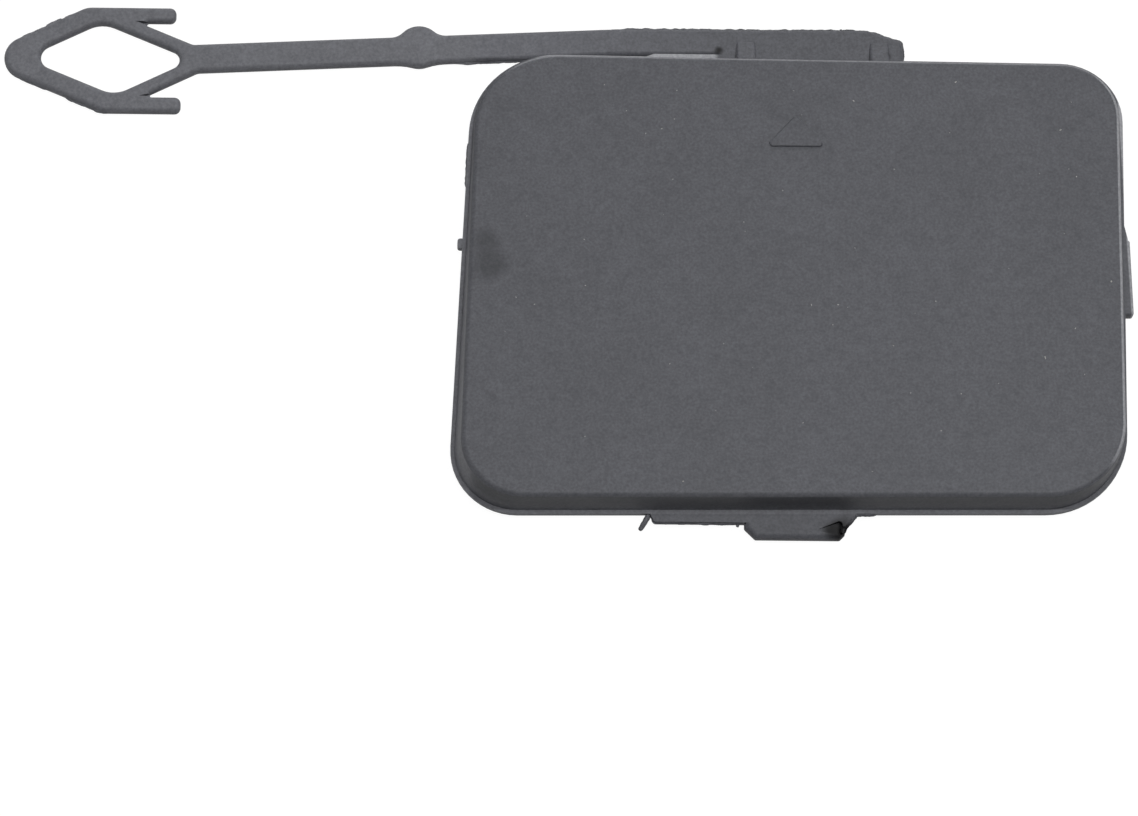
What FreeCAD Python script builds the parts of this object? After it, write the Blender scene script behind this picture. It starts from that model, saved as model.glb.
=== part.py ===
import FreeCAD, Part
import math
import os

# A bumper tow hook cover, moulded in one piece: a wedge-shaped cap with a lip round it, a tongue
# below, a snap clip at each side and a flat retaining strap that ends in a barbed diamond.
# Lengths are millimetres, angles degrees. The cap lies face up, with X along the strap, Y up the
# face, and the origin under the middle of the cap on the plane that its rear collar stands on.

V = FreeCAD.Vector

# Cap outline, measured over the lip at mid height and mid width
CAP_WIDTH = 74.66
CAP_HEIGHT = 54.26
LEFT_LEAN = 2.4
RIGHT_LEAN = 1.4
BOTTOM_RISE = 0.6
TOP_RISE = -0.4
CORNER_RADII = {"bottom left": 7.4, "bottom right": 9.5, "top right": 7.0, "top left": 10.1}

# Cap section
COLLAR_HEIGHT = 1.3
COLLAR_INSET = 1.1
COLLAR_WALL = 1.5
COLLAR_EDGE_RADIUS = 0.25
LIP_THICKNESS = 0.7
LIP_WIDTH = 0.45
TOP_LIP_WIDTH = 0.15
WALL_ABOVE_LIP_TOP = 0.65
WALL_ABOVE_LIP_BOTTOM = 4.05
RIM_RADIUS = 0.6
FACE_WALL = 2.0
DRAFT = {"left": 13.0, "bottom": 6.0, "right": 2.0, "top": 3.0}

# Stiffening ribs in the back
RIB_THICKNESS = 1.2
RIB_SETBACK = 0.3
UPRIGHT_RIBS = 3
CROSS_RIBS = 2

# Raised triangle on the face
MARK_WIDTH = 7.0
MARK_HEIGHT = 4.0
MARK_RELIEF = 0.25
MARK_X = 0.44
MARK_BELOW_TOP = 11.36
MARK_CORNER_RADIUS = 0.4
MARK_EDGE_RADIUS = 0.22

# Retaining strap, from the flange out to the anchor: each run has a length, a slope and the
# width at its far end
STRAP_THICKNESS = 1.4
STRAP_SLOT = 0.75
STRAP_ROOT_WIDTH = 3.3
STRAP_RUNS = ((12.0, 0.8, 3.3), (13.0, 3.2, 3.4), (34.8, 3.05, 3.42))
STRAP_BEND_RADIUS = 60.0
STRAP_EDGE_RADIUS = 0.6
SLOT_END_RADIUS = 0.55
SLOT_LEDGE_LENGTH = 8.6
SLOT_LEDGE_WIDTH = 0.45
PAD_DIAMETER = 5.15
PAD_FROM_ANCHOR = 25.5
PAD_OFFSET = 0.42
PAD_BLEND_ABOVE = 2.0
PAD_BLEND_BELOW = 7.0

# Flange at the top of the cap, with two gussets
FLANGE_LEFT = -8.16
FLANGE_RIGHT = 12.95
FLANGE_CHAMFER_LENGTH = 3.9
FLANGE_CHAMFER_DROP = 1.35
FLANGE_FLARE = 0.3
FLANGE_CORNER_RADIUS = 0.7
FLANGE_ROOT_DEPTH = 1.9
GUSSET_WIDTH = 2.3
GUSSET_LENGTH = 2.45
GUSSET_RISE = 0.75
GUSSET_TIP_STEP = 0.05
GUSSET_EDGE_RADIUS = 0.4
GUSSET_FROM_LEFT = 3.15
GUSSET_FROM_RIGHT = 2.66

# Diamond anchor: the hole is a rhombus pushed out of square, the strands lie round it
HOLE_HALF_LENGTH = 9.7
HOLE_HALF_WIDTH = 4.52
HOLE_SKEW = 0.9
HOLE_FRONT_RADIUS = 1.5
HOLE_REAR_RADIUS = 1.15
HOLE_CREST_RADIUS = 3.3
ANCHOR_BEYOND_STRAP = 10.0
ANCHOR_DROP = 0.12
FRONT_STRAND = 2.4
NOSE_STRAND = 2.4
REAR_STRAND = 1.65
UPPER_CREST_HEIGHT = 1.8
LOWER_CREST_HEIGHT = 2.1
NOSE_RADIUS = 2.6
CREST_RADIUS = 2.5
UPPER_BARB_WIDTH = 1.8
LOWER_BARB_WIDTH = 1.9
UPPER_BARB_REACH = 7.6
LOWER_BARB_REACH = 8.45
BARB_TIP_RADIUS = 0.7
NOTCH_RADIUS = 0.25
CREASE_LENGTH = 1.75
CREASE_WIDTH = 0.6
CREASE_DEPTH = 0.65
CREASE_PAST_ROOT = 0.35
THROAT_RADIUS = 1.2

# Tongue under the bottom edge
TONGUE_THICKNESS = 1.1
TONGUE_RIGHT = 5.39
TONGUE_WIDTH = 11.1
TONGUE_FLARE = 1.2
TONGUE_REACH = 2.8
TONGUE_CHAMFER = 1.2
TONGUE_NOSE_RADIUS = 0.7
TONGUE_CORNER_RADIUS = 0.3
SHELF_WIDTH = 10.4
SHELF_REACH = 0.95
SCOOP_WIDTH = 3.0
SCOOP_LENGTH = 1.9
SCOOP_DEPTH = 0.85
SCOOP_FRONT_WALL = 0.3
SCOOP_SIDE_WALL = 0.25
SCOOP_CORNER_RADIUS = 0.4
SCOOP_TIP_RADIUS = 0.15

# Snap clip on the right and nub on the left
CLIP_THICKNESS = 1.3
CLIP_BELOW_LIP_TOP = 0.1
CLIP_LOWER_END = -3.44
CLIP_LENGTH = 9.0
CLIP_REACH_UPPER = 0.65
CLIP_REACH_LOWER = 1.0
CLIP_EDGE_RADIUS = 0.3
CLIP_FIN_LENGTH = 1.75
CLIP_FIN_REACH = 0.42
NUB_LENGTH = 1.15
NUB_REACH = 0.55
NUB_CENTRE = 4.26
NUB_THICKNESS = 0.9
NUB_CORNER_RADIUS = 0.3

# Fused features run this far into their neighbours
ROOT = 1.2

LIP_TOP = COLLAR_HEIGHT + LIP_THICKNESS
FACE_TOP = LIP_TOP + WALL_ABOVE_LIP_TOP
FACE_BOTTOM = LIP_TOP + WALL_ABOVE_LIP_BOTTOM
FACE_MIDDLE = (FACE_TOP + FACE_BOTTOM) / 2
FACE_SLOPE = (FACE_BOTTOM - FACE_TOP) / CAP_HEIGHT
POCKET_INSET = COLLAR_INSET + COLLAR_WALL
SPAN = 2 * (CAP_WIDTH + CAP_HEIGHT)
SIDES = ("bottom", "right", "top", "left")


def turned(angle):
    """Unit direction at an angle from +X."""
    return (math.cos(math.radians(angle)), math.sin(math.radians(angle)))


def moved(line, distance):
    """The line moved to the right of its direction by a distance."""
    (x, y), (dx, dy) = line
    return ((x + dy * distance, y - dx * distance), (dx, dy))


def meet(first, second):
    """Point where two lines cross."""
    (ax, ay), (adx, ady) = first
    (bx, by), (bdx, bdy) = second
    along = ((bx - ax) * bdy - (by - ay) * bdx) / (adx * bdy - ady * bdx)
    return (ax + adx * along, ay + ady * along)


def through(start, end):
    """Line from one point towards another."""
    length = math.dist(start, end)
    return (start, ((end[0] - start[0]) / length, (end[1] - start[1]) / length))


def level(y):
    """Line along +X at a place up the cap."""
    return ((0.0, y), turned(0))


def widening(start, start_width, end, end_width):
    """Outer line of a strand whose width changes along its inner edge, the strand on its left."""
    edge = through(start, end)
    return through(moved(edge, -start_width)[0], moved((end, edge[1]), -end_width)[0])


def cap_side(name):
    """A side of the cap's outline, run round it with the outside on its right."""
    sides = {
        "bottom": ((0.0, -CAP_HEIGHT / 2), turned(BOTTOM_RISE)),
        "right": ((CAP_WIDTH / 2, 0.0), turned(90 - RIGHT_LEAN)),
        "top": ((0.0, CAP_HEIGHT / 2), turned(180 + TOP_RISE)),
        "left": ((-CAP_WIDTH / 2, 0.0), turned(270 - LEFT_LEAN)),
    }
    return sides[name]


def cap_corners(insets):
    """Sharp corners of the outline with each side brought in by its inset."""
    lines = [moved(cap_side(name), -insets[name]) for name in SIDES]
    return [meet(lines[i - 1], lines[i]) for i in range(len(lines))]


def flat_face(points):
    """Flat face through points that turn to the left about its outward side."""
    return Part.Face(Part.makePolygon(points + points[:1]))


def cap_block(low_insets, low, high_insets, high, shrink):
    """Solid between two outlines, its upright corners rounded."""
    foot = [V(x, y, low) for x, y in cap_corners(low_insets)]
    head = [V(x, y, high) for x, y in cap_corners(high_insets)]
    faces = [flat_face(foot[::-1]), flat_face(head)]
    for i in range(len(foot)):
        j = (i + 1) % len(foot)
        faces.append(flat_face([foot[i], foot[j], head[j], head[i]]))
    block = Part.Solid(Part.Shell(faces))
    for name, start, end in zip(CORNER_RADII, foot, head):
        middle = (start + end) / 2
        edge = min(block.Edges, key=lambda e: e.CenterOfMass.distanceToPoint(middle))
        block = block.makeFillet(CORNER_RADII[name] - shrink, [edge])
    return block


def even(inset):
    """The same inset on all four sides."""
    return {name: inset for name in SIDES}


def under_face(drop):
    """Everything below the sloping face lowered by a drop."""
    near, far = -SPAN / 2, SPAN / 2
    heights = [FACE_MIDDLE - FACE_SLOPE * y - drop for y in (near, far)]
    corners = [V(near, near, -SPAN), V(near, far, -SPAN), V(near, far, heights[1]), V(near, near, heights[0])]
    return flat_face(corners).extrude(V(SPAN, 0, 0))


def rounded_wire(corners, z):
    """Closed wire through corners given as x, y and the radius that rounds each of them."""
    count = len(corners)
    ends = []
    for i, (x, y, radius) in enumerate(corners):
        before = through((x, y), corners[i - 1][:2])[1]
        after = through((x, y), corners[(i + 1) % count][:2])[1]
        turn = math.acos(max(-1.0, min(1.0, before[0] * after[0] + before[1] * after[1])))
        back = radius / math.tan(turn / 2)
        enter = (x + before[0] * back, y + before[1] * back)
        leave = (x + after[0] * back, y + after[1] * back)
        inward = (before[0] + after[0], before[1] + after[1])
        scale = (radius / math.sin(turn / 2) - radius) / math.hypot(*inward)
        ends.append((enter, (x + inward[0] * scale, y + inward[1] * scale), leave, radius))
    edges = []
    for i, (enter, middle, leave, radius) in enumerate(ends):
        if radius > 0:
            edges.append(Part.Arc(V(*enter, z), V(*middle, z), V(*leave, z)).toShape())
        following = ends[(i + 1) % count][0]
        edges.append(Part.LineSegment(V(*leave, z), V(*following, z)).toShape())
    return Part.Wire(edges)


def slab(corners, low, high):
    """Flat solid with a rounded outline."""
    return Part.Face(rounded_wire(corners, low)).extrude(V(0, 0, high - low))


def edges_at(solid, z):
    """Edges that lie flat at a height."""
    flat = []
    for edge in solid.Edges:
        box = edge.BoundBox
        if abs(box.ZMin - z) < 1e-4 and abs(box.ZMax - z) < 1e-4:
            flat.append(edge)
    return flat


def cap_body():
    """Drafted wedge above the collar, with a rounded rim."""
    top_of_block = FACE_BOTTOM + ROOT
    insets = []
    for z in (COLLAR_HEIGHT, top_of_block):
        inset = {}
        for name in SIDES:
            lip_width = TOP_LIP_WIDTH if name == "top" else LIP_WIDTH
            inset[name] = lip_width + (z - LIP_TOP) * math.tan(math.radians(DRAFT[name]))
        insets.append(inset)
    body = cap_block(insets[0], COLLAR_HEIGHT, insets[1], top_of_block, LIP_WIDTH)
    body = body.common(under_face(0.0))
    face = max(body.Faces, key=lambda f: f.CenterOfMass.z)
    return body.makeFillet(RIM_RADIUS, face.Edges)


def lip():
    """Thin lip round the foot of the cap."""
    return cap_block(even(0.0), COLLAR_HEIGHT, even(0.0), LIP_TOP, 0.0)


def collar():
    """Locating collar set in behind the lip."""
    block = cap_block(even(COLLAR_INSET), 0.0, even(COLLAR_INSET), LIP_TOP, COLLAR_INSET)
    return block.makeFillet(COLLAR_EDGE_RADIUS, edges_at(block, 0.0))


def pocket():
    """Hollow in the back that leaves the collar and the face wall."""
    insets = even(POCKET_INSET)
    hollow = cap_block(insets, -ROOT, insets, FACE_BOTTOM, POCKET_INSET)
    return hollow.common(under_face(FACE_WALL))


def ribs(hollow):
    """Ribs that cross the hollow, set back from the collar's rim."""
    walls = []
    half = RIB_THICKNESS / 2
    for i in range(UPRIGHT_RIBS):
        x = CAP_WIDTH * ((i + 1) / (UPRIGHT_RIBS + 1) - 0.5)
        walls.append(Part.makeBox(RIB_THICKNESS, SPAN, FACE_BOTTOM, V(x - half, -SPAN / 2, RIB_SETBACK)))
    for i in range(CROSS_RIBS):
        y = CAP_HEIGHT * ((i + 1) / (CROSS_RIBS + 1) - 0.5)
        walls.append(Part.makeBox(SPAN, RIB_THICKNESS, FACE_BOTTOM, V(-SPAN / 2, y - half, RIB_SETBACK)))
    return [wall.common(hollow) for wall in walls]


def mark():
    """Raised triangle near the top of the face."""
    base = CAP_HEIGHT / 2 - MARK_BELOW_TOP
    corners = [
        (MARK_X - MARK_WIDTH / 2, base, MARK_CORNER_RADIUS),
        (MARK_X + MARK_WIDTH / 2, base, MARK_CORNER_RADIUS),
        (MARK_X, base + MARK_HEIGHT, MARK_CORNER_RADIUS),
    ]
    prism = slab(corners, 0.0, FACE_BOTTOM + ROOT)
    prism = prism.common(under_face(-MARK_RELIEF)).cut(under_face(FACE_WALL / 2))
    top = max(prism.Faces, key=lambda f: f.CenterOfMass.z)
    return prism.makeFillet(MARK_EDGE_RADIUS, top.Edges)


def strap_stations():
    """Centre points and widths along the strap, from the flange to the anchor."""
    x, y = FLANGE_LEFT, CAP_HEIGHT / 2 + STRAP_SLOT + STRAP_ROOT_WIDTH / 2
    stations = [(x, y, STRAP_ROOT_WIDTH)]
    for length, slope, width in STRAP_RUNS:
        x -= length * math.cos(math.radians(slope))
        y -= length * math.sin(math.radians(slope))
        stations.append((x, y, width))
    return stations


def anchor_centre():
    """Middle of the diamond's hole."""
    x, y, _ = strap_stations()[-1]
    return (x - ANCHOR_BEYOND_STRAP, y - ANCHOR_DROP)


def hole_corners():
    """Sharp corners of the diamond's hole: front, top, rear and bottom."""
    x, y = anchor_centre()
    return (
        (x - HOLE_HALF_LENGTH, y),
        (x - HOLE_SKEW, y + HOLE_HALF_WIDTH),
        (x + HOLE_HALF_LENGTH, y),
        (x + HOLE_SKEW, y - HOLE_HALF_WIDTH),
    )


def barb_edges():
    """Places up the anchor of the barbs' edges: upper outer and inner, lower outer and inner."""
    y = anchor_centre()[1]
    upper = y + HOLE_HALF_WIDTH + UPPER_CREST_HEIGHT
    lower = y - HOLE_HALF_WIDTH - LOWER_CREST_HEIGHT
    return upper, upper - UPPER_BARB_WIDTH, lower, lower + LOWER_BARB_WIDTH


def notches():
    """Sharp roots of the notches between each barb and the strand behind it."""
    front, crest, rear, foot = hole_corners()
    upper_rear = moved(through(crest, rear), -REAR_STRAND)
    lower_rear = moved(through(rear, foot), -REAR_STRAND)
    _, upper_inner, _, lower_inner = barb_edges()
    return meet(level(upper_inner), upper_rear), meet(level(lower_inner), lower_rear)


def creases():
    """Creases that run on from the notches into the anchor."""
    cuts = []
    for (x, y), side in zip(notches(), (-1, 1)):
        tip = x - CREASE_PAST_ROOT
        mouth = tip + CREASE_LENGTH
        corners = [(tip, y, 0.0), (mouth, y, 0.0), (mouth, y + side * CREASE_WIDTH, 0.0)]
        cuts.append(slab(corners, STRAP_THICKNESS - CREASE_DEPTH, STRAP_THICKNESS + ROOT))
    return cuts


def retainer_outline():
    """Outline of the flange, the strap and the anchor as one run of rounded corners."""
    front, crest, rear, foot = hole_corners()
    x = anchor_centre()[0]
    upper_front = widening(front, NOSE_STRAND, crest, FRONT_STRAND)
    lower_front = widening(foot, FRONT_STRAND, front, NOSE_STRAND)
    upper_rear = moved(through(crest, rear), -REAR_STRAND)
    lower_rear = moved(through(rear, foot), -REAR_STRAND)
    upper_tip, lower_tip = x + UPPER_BARB_REACH, x + LOWER_BARB_REACH
    upper_edge, upper_inner, lower_edge, lower_inner = barb_edges()
    upper_notch, lower_notch = notches()

    stations = strap_stations()
    above = [(sx, sy + width / 2) for sx, sy, width in stations]
    below = [(sx, sy - width / 2) for sx, sy, width in stations]
    top_edge = CAP_HEIGHT / 2 + STRAP_SLOT + STRAP_ROOT_WIDTH
    root_edge = CAP_HEIGHT / 2 - FLANGE_ROOT_DEPTH

    corners = [(*meet(lower_front, upper_front), NOSE_RADIUS)]
    corners.append((*meet(level(lower_edge), lower_front), CREST_RADIUS))
    corners.append((lower_tip, lower_edge, BARB_TIP_RADIUS))
    corners.append((lower_tip, lower_inner, BARB_TIP_RADIUS))
    corners.append((*lower_notch, NOTCH_RADIUS))
    corners.append((*meet(lower_rear, through(below[-1], below[-2])), THROAT_RADIUS))
    corners.extend((px, py, STRAP_BEND_RADIUS) for px, py in reversed(below[1:-1]))
    corners.append((*below[0], SLOT_END_RADIUS))
    corners.append((FLANGE_LEFT, root_edge, 0.0))
    corners.append((FLANGE_RIGHT + FLANGE_FLARE, root_edge, 0.0))
    corners.append((FLANGE_RIGHT, top_edge - FLANGE_CHAMFER_DROP, FLANGE_CORNER_RADIUS))
    corners.append((FLANGE_RIGHT - FLANGE_CHAMFER_LENGTH, top_edge, FLANGE_CORNER_RADIUS))
    corners.extend((px, py, STRAP_BEND_RADIUS) for px, py in above[1:-1])
    corners.append((*meet(upper_rear, through(above[-1], above[-2])), THROAT_RADIUS))
    corners.append((*upper_notch, NOTCH_RADIUS))
    corners.append((upper_tip, upper_inner, BARB_TIP_RADIUS))
    corners.append((upper_tip, upper_edge, BARB_TIP_RADIUS))
    corners.append((*meet(level(upper_edge), upper_front), CREST_RADIUS))
    return corners


def hole_outline():
    """Outline of the hole in the anchor."""
    radii = (HOLE_FRONT_RADIUS, HOLE_CREST_RADIUS, HOLE_REAR_RADIUS, HOLE_CREST_RADIUS)
    return [(*corner, radius) for corner, radius in zip(hole_corners(), radii)]


def pad_centre():
    """Middle of the round pad, which sits a little above the strap's centre line."""
    near, far = strap_stations()[-2:]
    share = PAD_FROM_ANCHOR / math.dist(near[:2], far[:2])
    x = far[0] + (near[0] - far[0]) * share
    y = far[1] + (near[1] - far[1]) * share
    return (x, y + PAD_OFFSET)


def retainer():
    """Flange, strap and anchor in one flat piece with softened edges."""
    flat = slab(retainer_outline(), 0.0, STRAP_THICKNESS)
    flat = flat.cut(slab(hole_outline(), -ROOT, STRAP_THICKNESS + ROOT))
    x, y = pad_centre()
    flat = flat.fuse(Part.makeCylinder(PAD_DIAMETER / 2, STRAP_THICKNESS, V(x, y, 0.0))).removeSplitter()
    for radius, side in ((PAD_BLEND_ABOVE, 1), (PAD_BLEND_BELOW, -1)):
        joins = []
        for edge in flat.Edges:
            centre = edge.CenterOfMass
            upright = edge.BoundBox.ZLength > STRAP_THICKNESS / 2
            beside = math.dist((centre.x, centre.y), (x, y)) - PAD_DIAMETER / 2
            if upright and abs(beside) < 1e-3 and (centre.y - y) * side > 0:
                joins.append(edge)
        flat = flat.makeFillet(radius, joins)
    return flat.makeFillet(STRAP_EDGE_RADIUS, edges_at(flat, STRAP_THICKNESS) + edges_at(flat, 0.0))


def gusset(x):
    """Sloping rib between the flange and the top wall of the cap."""
    foot = CAP_HEIGHT / 2
    tip = foot + GUSSET_LENGTH
    low = STRAP_THICKNESS / 2
    step = STRAP_THICKNESS + GUSSET_TIP_STEP
    crest = step + (GUSSET_RISE - GUSSET_TIP_STEP) * (GUSSET_LENGTH + ROOT) / GUSSET_LENGTH
    profile = [(foot - ROOT, low), (tip, low), (tip, step), (foot - ROOT, crest)]
    points = [V(x - GUSSET_WIDTH / 2, y, z) for y, z in profile]
    rib = flat_face(points).extrude(V(GUSSET_WIDTH, 0, 0))
    outer = [e for e in rib.Edges if e.BoundBox.ZMin > low and e.BoundBox.YMax > foot]
    return rib.makeFillet(GUSSET_EDGE_RADIUS, outer)


def gussets():
    """The flange's two gussets."""
    return [gusset(x) for x in (FLANGE_LEFT + GUSSET_FROM_LEFT, FLANGE_RIGHT - GUSSET_FROM_RIGHT)]


def slot_ledge():
    """Narrow ledge on the lip that tapers away from the blind end of the strap's slot."""
    edge = CAP_HEIGHT / 2
    end = FLANGE_LEFT + ROOT
    start = FLANGE_LEFT - SLOT_LEDGE_LENGTH
    return slab([
        (start, edge, 0.0),
        (start, edge - ROOT, 0.0),
        (end, edge - ROOT, 0.0),
        (end, edge + SLOT_LEDGE_WIDTH, 0.0),
        (start + ROOT, edge + SLOT_LEDGE_WIDTH, 0.0),
    ], COLLAR_HEIGHT, LIP_TOP)


def bottom_y(x):
    """Place of the cap's bottom edge at a place across it."""
    return meet(cap_side("bottom"), ((x, 0.0), turned(90)))[1]


def tongue():
    """Tongue and the shorter shelf beside it, level with the lip."""
    low = LIP_TOP - TONGUE_THICKNESS
    right, left = TONGUE_RIGHT, TONGUE_RIGHT - TONGUE_WIDTH
    edge = bottom_y((left + right) / 2)
    end = edge - TONGUE_REACH
    main = slab([
        (left, edge + ROOT, 0.0),
        (left, end + TONGUE_CHAMFER, TONGUE_CORNER_RADIUS),
        (left + TONGUE_CHAMFER, end, TONGUE_CORNER_RADIUS),
        (right - TONGUE_CHAMFER / 2, end, TONGUE_CORNER_RADIUS),
        (right, end + TONGUE_CHAMFER / 2, TONGUE_CORNER_RADIUS),
        (right, edge + ROOT, 0.0),
    ], low, LIP_TOP)
    nose = [e for e in edges_at(main, LIP_TOP) if e.CenterOfMass.y < end + TONGUE_NOSE_RADIUS]
    main = main.makeFillet(TONGUE_NOSE_RADIUS, nose)
    shelf_left = left - SHELF_WIDTH
    shelf_edge = bottom_y((shelf_left + left) / 2)
    shelf = slab([
        (shelf_left, shelf_edge + ROOT, 0.0),
        (shelf_left, shelf_edge, 0.0),
        (shelf_left + SHELF_REACH / 2, shelf_edge - SHELF_REACH, TONGUE_CORNER_RADIUS),
        (left + ROOT, shelf_edge - SHELF_REACH, 0.0),
        (left + ROOT, shelf_edge + ROOT, 0.0),
    ], low, LIP_TOP)
    flare = slab([
        (right - ROOT, end + TONGUE_REACH / 2, 0.0),
        (right, end + TONGUE_REACH / 2, 0.0),
        (right + TONGUE_FLARE, edge, 0.0),
        (right + TONGUE_FLARE, edge + ROOT, 0.0),
        (right - ROOT, edge + ROOT, 0.0),
    ], low, LIP_TOP)
    return [main, shelf, flare]


def scoop():
    """Hollow at the end of the tongue that narrows and rises to the left."""
    end = bottom_y(TONGUE_RIGHT - TONGUE_WIDTH / 2) - TONGUE_REACH
    right = TONGUE_RIGHT - SCOOP_SIDE_WALL
    left = right - SCOOP_WIDTH
    low = end + SCOOP_FRONT_WALL
    hollow = slab([
        (left, low + SCOOP_LENGTH / 3, SCOOP_TIP_RADIUS),
        (right, low, SCOOP_CORNER_RADIUS),
        (right, low + SCOOP_LENGTH, SCOOP_CORNER_RADIUS),
    ], LIP_TOP - SCOOP_DEPTH, LIP_TOP + ROOT)
    floor = [V(left, end, LIP_TOP), V(left, end, 0.0), V(right, end, 0.0), V(right, end, LIP_TOP - SCOOP_DEPTH)]
    return hollow.cut(flat_face(floor).extrude(V(0, TONGUE_REACH, 0)))


def side_point(name, y, out):
    """Point beside the cap's left or right edge at a place up it."""
    return meet(moved(cap_side(name), out), ((0.0, y), turned(0)))


def clip():
    """Snap clip that widens downwards on the right."""
    top = LIP_TOP - CLIP_BELOW_LIP_TOP
    upper = CLIP_LOWER_END + CLIP_LENGTH
    body = slab([
        (*side_point("right", CLIP_LOWER_END, -ROOT), 0.0),
        (*side_point("right", CLIP_LOWER_END, CLIP_REACH_LOWER), CLIP_EDGE_RADIUS),
        (*side_point("right", upper, CLIP_REACH_UPPER), CLIP_EDGE_RADIUS),
        (*side_point("right", upper, -ROOT), 0.0),
    ], top - CLIP_THICKNESS, top)
    edge = side_point("right", CLIP_LOWER_END, 0.0)[0]
    outer = [e for e in edges_at(body, top) if e.CenterOfMass.x > edge]
    fin = slab([
        (*side_point("right", upper - CLIP_EDGE_RADIUS, -ROOT), 0.0),
        (*side_point("right", upper - CLIP_EDGE_RADIUS, CLIP_FIN_REACH), 0.0),
        (*side_point("right", upper, CLIP_FIN_REACH), 0.0),
        (*side_point("right", upper + CLIP_FIN_LENGTH, 0.0), 0.0),
        (*side_point("right", upper + CLIP_FIN_LENGTH, -ROOT), 0.0),
    ], top - CLIP_THICKNESS, top)
    return body.makeFillet(CLIP_EDGE_RADIUS, outer).fuse(fin)


def nub():
    """Small rounded nub on the left."""
    top = LIP_TOP - CLIP_BELOW_LIP_TOP
    half = NUB_LENGTH / 2
    return slab([
        (*side_point("left", NUB_CENTRE + half, -ROOT), 0.0),
        (*side_point("left", NUB_CENTRE + half, NUB_REACH), NUB_CORNER_RADIUS),
        (*side_point("left", NUB_CENTRE - half, NUB_REACH), NUB_CORNER_RADIUS),
        (*side_point("left", NUB_CENTRE - half, -ROOT), 0.0),
    ], top - NUB_THICKNESS, top)


def cover():
    """The whole moulding."""
    hollow = pocket()
    solid = cap_body()
    for feature in (lip(), collar(), retainer(), slot_ledge(), *gussets(), *tongue(), clip(), nub(), mark()):
        solid = solid.fuse(feature)
    solid = solid.cut(hollow).fuse(ribs(hollow))
    return solid.cut([scoop(), *creases()]).removeSplitter()


def main():
    os.makedirs("parts", exist_ok=True)
    solid = cover()
    box = solid.optimalBoundingBox()
    print("solids", len(solid.Solids), "valid", solid.isValid(), "volume", round(solid.Volume, 1))
    print("size", [round(v, 2) for v in (box.XLength, box.YLength, box.ZLength)])
    print("low", [round(v, 2) for v in (box.XMin, box.YMin, box.ZMin)])
    solid.Solids[0].exportStep("parts/tow_hook_cover.step")


main()
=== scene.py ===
import math

import bmesh
import bpy
from bpy.props import FloatProperty, FloatVectorProperty, IntProperty, PointerProperty
from mathutils import Euler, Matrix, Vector


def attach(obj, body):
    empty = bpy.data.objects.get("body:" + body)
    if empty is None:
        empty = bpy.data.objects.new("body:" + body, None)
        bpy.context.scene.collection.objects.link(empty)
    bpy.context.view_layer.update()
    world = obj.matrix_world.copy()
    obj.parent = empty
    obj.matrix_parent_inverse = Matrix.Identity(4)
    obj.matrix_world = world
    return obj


# Dresses the bumper tow hook cover: its moulded polypropylene, the flash and torn nibs that the
# mould left round its parting edges, the marks of ejector pins and gate on its back, the lint on
# its face, and the studio round it.

bl_info = {
    "name": "Tow hook cover dressing",
    "version": (1, 0, 0),
    "blender": (4, 5, 0),
    "location": "3D View > Sidebar > Cover",
    "description": "Plastic, mould flash, nibs, lint and studio for a moulded tow hook cover",
    "category": "Object",
}

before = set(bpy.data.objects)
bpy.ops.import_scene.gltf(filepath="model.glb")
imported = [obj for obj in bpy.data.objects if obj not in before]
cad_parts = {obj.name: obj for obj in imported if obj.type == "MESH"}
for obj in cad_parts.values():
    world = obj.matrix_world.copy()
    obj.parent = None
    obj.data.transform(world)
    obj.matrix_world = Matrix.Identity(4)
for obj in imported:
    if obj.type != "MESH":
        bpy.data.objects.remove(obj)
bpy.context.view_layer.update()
NODE = "tow_hook_cover"
BODY = "root"
MM = 0.001

# Landmarks of the moulding, in millimetres, as the CAD source has them
STRAP_PARTING = 0.7
LIP_PARTING = 1.65
FACE_MIDDLE = 4.35
FACE_SLOPE = 0.06266
FACE_WALL = 2.0
CAP_HALF_WIDTH = 37.33
CAP_HALF_HEIGHT = 27.13
LIP_TOP = 2.0
RIGHT_LEAN = 0.0244
BOTTOM_RISE = 0.0105
STRAP_LEAVES_CAP = -38.65
FLANGE_LEFT = -8.16
RIB_COLUMNS, RIB_ROWS = 4, 3


def linear(hex_colour):
    """Linear RGBA of an sRGB hex colour."""
    parts = [int(hex_colour[i:i + 2], 16) / 255 for i in (1, 3, 5)]
    return tuple(c / 12.92 if c <= 0.04045 else ((c + 0.055) / 1.055) ** 2.4 for c in parts) + (1.0,)


def face_height(y):
    """Height of the cap's sloping face, in millimetres."""
    return FACE_MIDDLE - FACE_SLOPE * y


# Stretches of parting edge that carry flash: height of the parting line, the box that bounds
# the stretch (least x, most x, least y, most y) and how strong the flash is there
FLASH_STRETCHES = (
    (STRAP_PARTING, -20.5, 9.4, 30.0, 33.0, 0.95),
    (STRAP_PARTING, 9.2, 13.4, 27.5, 32.0, 0.7),
    (STRAP_PARTING, -38.5, -26.0, 24.0, 28.5, 0.75),
    (STRAP_PARTING, -88.0, -85.2, 27.0, 32.0, 0.6),
    (STRAP_PARTING, -85.2, -83.2, 28.0, 32.3, 1.0),
    (STRAP_PARTING, -83.2, -81.6, 29.0, 32.6, 0.5),
    (STRAP_PARTING, -82.5, -77.5, 19.0, 22.0, 0.8),
    (STRAP_PARTING, -88.0, -84.6, 21.0, 25.5, 0.5),
    (LIP_PARTING, -16.0, -5.7, -29.5, -27.4, 0.8),
    (LIP_PARTING, -6.2, 5.0, -31.0, -28.2, 0.2),
    (LIP_PARTING, 5.2, 9.0, -29.3, -26.9, 0.9),
    (LIP_PARTING, -37.2, -35.8, 11.0, 16.5, 0.65),
)
# Step between points on a parting edge, in millimetres
FLASH_POINT_STEP = 0.25
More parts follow.
